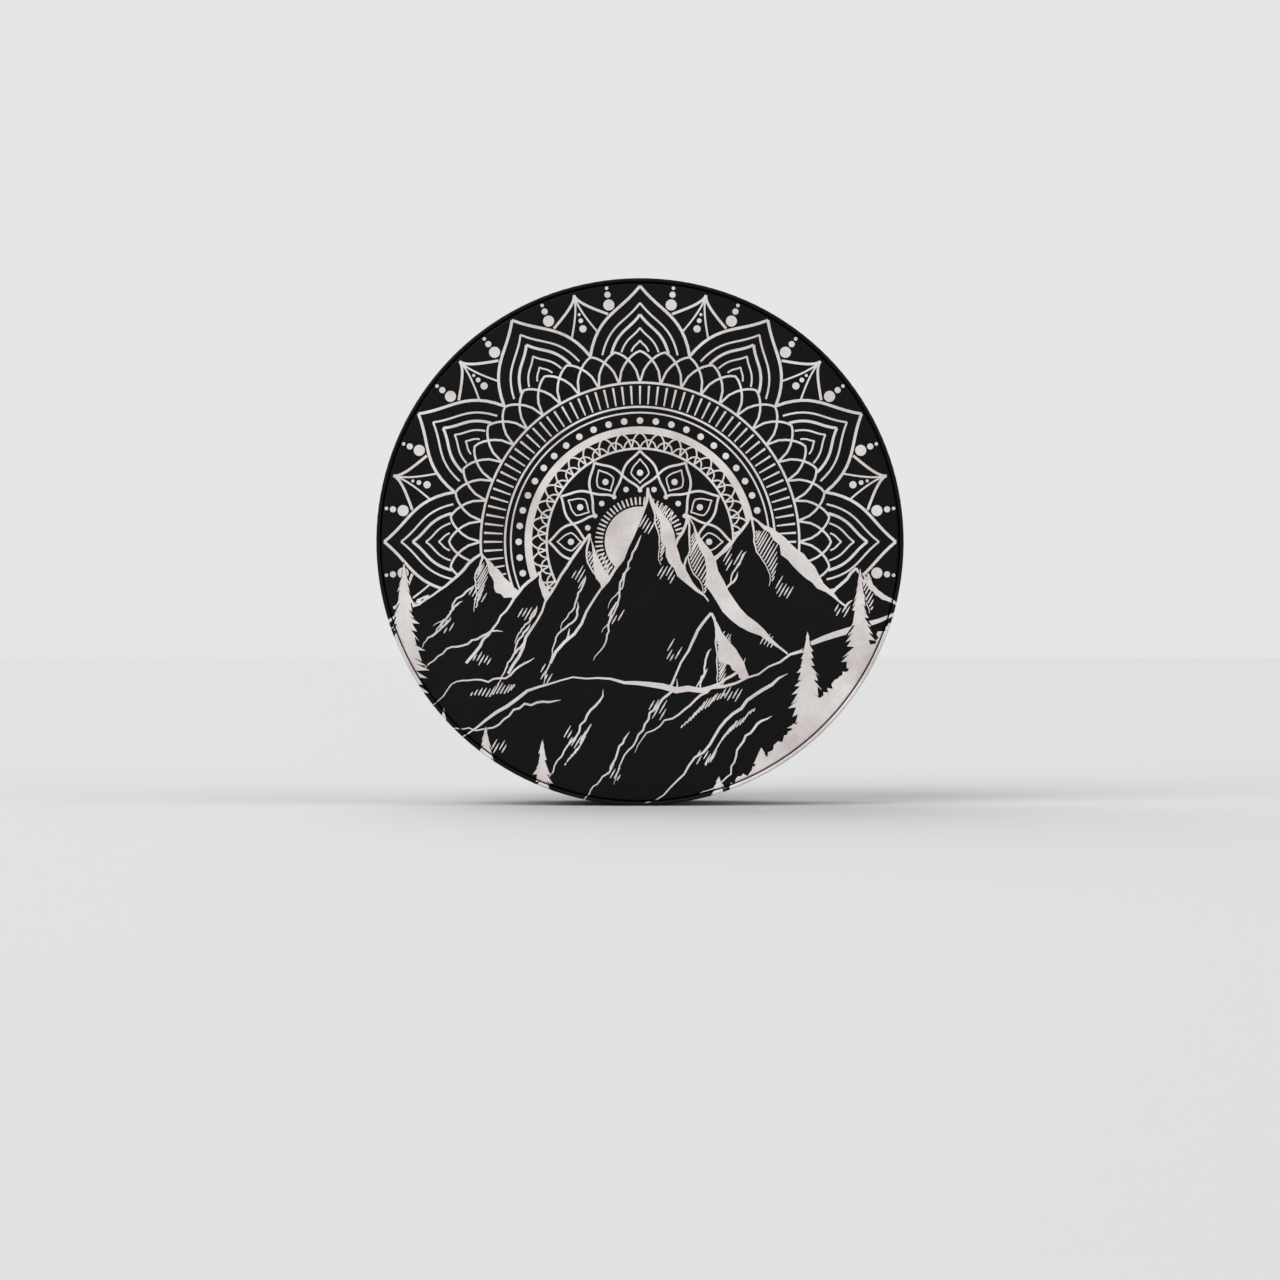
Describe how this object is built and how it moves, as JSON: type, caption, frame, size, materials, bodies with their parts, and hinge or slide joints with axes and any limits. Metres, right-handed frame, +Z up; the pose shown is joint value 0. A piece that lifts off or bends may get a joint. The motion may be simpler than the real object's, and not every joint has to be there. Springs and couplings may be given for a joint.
{
  "type": "spare tire cover",
  "caption": "Round soft cover that stretches over an upright spare wheel, with a printed face, welted seam, side band, elastic hem and buckled securing straps.",
  "frame": {"origin": "middle of the space that the tyre fills, on the wheel's axis", "axes": "+Y along the wheel's axis from the picture face to the open mouth, +Z up, +X to the right of someone who looks at the picture"},
  "size_m": [0.8218, 0.2722, 0.8218],
  "materials": {
    "printed_vinyl": "satin grained coated cloth with a printed picture",
    "print_ink": "matt warm white screen print",
    "band_vinyl": "satin grained coated cloth",
    "fleece": "brushed grey fleece",
    "binding_tape": "woven grosgrain",
    "welt_cord": "foamed cord, hidden inside the welt",
    "elastic": "braided elastic, hidden inside the hem",
    "elastic_black": "braided elastic",
    "webbing": "plain woven polypropylene",
    "buckle_plastic": "moulded acetal with a fine spark texture",
    "eyelet_metal": "nickel plated, lightly worn",
    "label_satin": "blank woven satin"
  },
  "bodies": {
    "cover": {"face_panel": "printed_vinyl", "face_backing": "fleece", "welt_cover": "printed_vinyl", "welt_core": "welt_cord", "front_seam_binding": "binding_tape", "side_band_left": "band_vinyl", "side_band_right": "band_vinyl", "band_join_tape_top": "binding_tape", "band_join_tape_bottom": "binding_tape", "eyelet_patches": "band_vinyl", "drain_eyelets": "eyelet_metal", "drain_washers": "eyelet_metal", "hem_casing_upper_left": "binding_tape", "hem_casing_upper_right": "binding_tape", "hem_casing_lower_left": "binding_tape", "hem_casing_lower_right": "binding_tape", "hem_elastic": "elastic", "care_label": "label_satin", "strap_patches": "band_vinyl", "upper_webbing_left": "webbing", "upper_webbing_right": "webbing", "upper_buckle_socket": "buckle_plastic", "lower_webbing_left": "webbing", "lower_webbing_right": "webbing", "lower_buckle_socket": "buckle_plastic"},
    "upper_insert": {"upper_buckle_insert": "buckle_plastic"},
    "upper_prong_high": {"upper_prong_high": "buckle_plastic"},
    "upper_prong_low": {"upper_prong_low": "buckle_plastic"},
    "upper_keeper": {"upper_tail_keeper": "elastic_black"},
    "lower_insert": {"lower_buckle_insert": "buckle_plastic"},
    "lower_prong_high": {"lower_prong_high": "buckle_plastic"},
    "lower_prong_low": {"lower_prong_low": "buckle_plastic"},
    "lower_keeper": {"lower_tail_keeper": "elastic_black"}
  },
  "joints": [
    {"name": "upper_buckle_release", "type": "slide", "parent": "cover", "child": "upper_insert", "axis": [1, 0, 0], "range_m": [0, 0.024], "deforming": ["upper_webbing_right"]},
    {"name": "upper_prong_high_pinch", "type": "hinge", "parent": "upper_insert", "child": "upper_prong_high", "pos_m": [0.0135, 0.13365, 0.1805], "axis": [0, 1, 0], "range_deg": [-11.6, 0]},
    {"name": "upper_prong_low_pinch", "type": "hinge", "parent": "upper_insert", "child": "upper_prong_low", "pos_m": [0.0135, 0.13365, 0.1595], "axis": [0, 1, 0], "range_deg": [0, 11.6]},
    {"name": "upper_keeper_slide", "type": "slide", "parent": "cover", "child": "upper_keeper", "axis": [1, 0, 0], "range_m": [-0.025, 0.04]},
    {"name": "lower_buckle_release", "type": "slide", "parent": "cover", "child": "lower_insert", "axis": [1, 0, 0], "range_m": [0, 0.024], "deforming": ["lower_webbing_right"]},
    {"name": "lower_prong_high_pinch", "type": "hinge", "parent": "lower_insert", "child": "lower_prong_high", "pos_m": [0.0135, 0.13365, -0.1595], "axis": [0, 1, 0], "range_deg": [-11.6, 0]},
    {"name": "lower_prong_low_pinch", "type": "hinge", "parent": "lower_insert", "child": "lower_prong_low", "pos_m": [0.0135, 0.13365, -0.1805], "axis": [0, 1, 0], "range_deg": [0, 11.6]},
    {"name": "lower_keeper_slide", "type": "slide", "parent": "cover", "child": "lower_keeper", "axis": [1, 0, 0], "range_m": [-0.025, 0.04]}
  ],
  "couplings": [
    {"joint": "upper_prong_high_pinch", "follows": "upper_buckle_release", "rad_per_m": -8.3333},
    {"joint": "upper_prong_low_pinch", "follows": "upper_buckle_release", "rad_per_m": 8.3333},
    {"joint": "lower_prong_high_pinch", "follows": "lower_buckle_release", "rad_per_m": -8.3333},
    {"joint": "lower_prong_low_pinch", "follows": "lower_buckle_release", "rad_per_m": 8.3333}
  ]
}
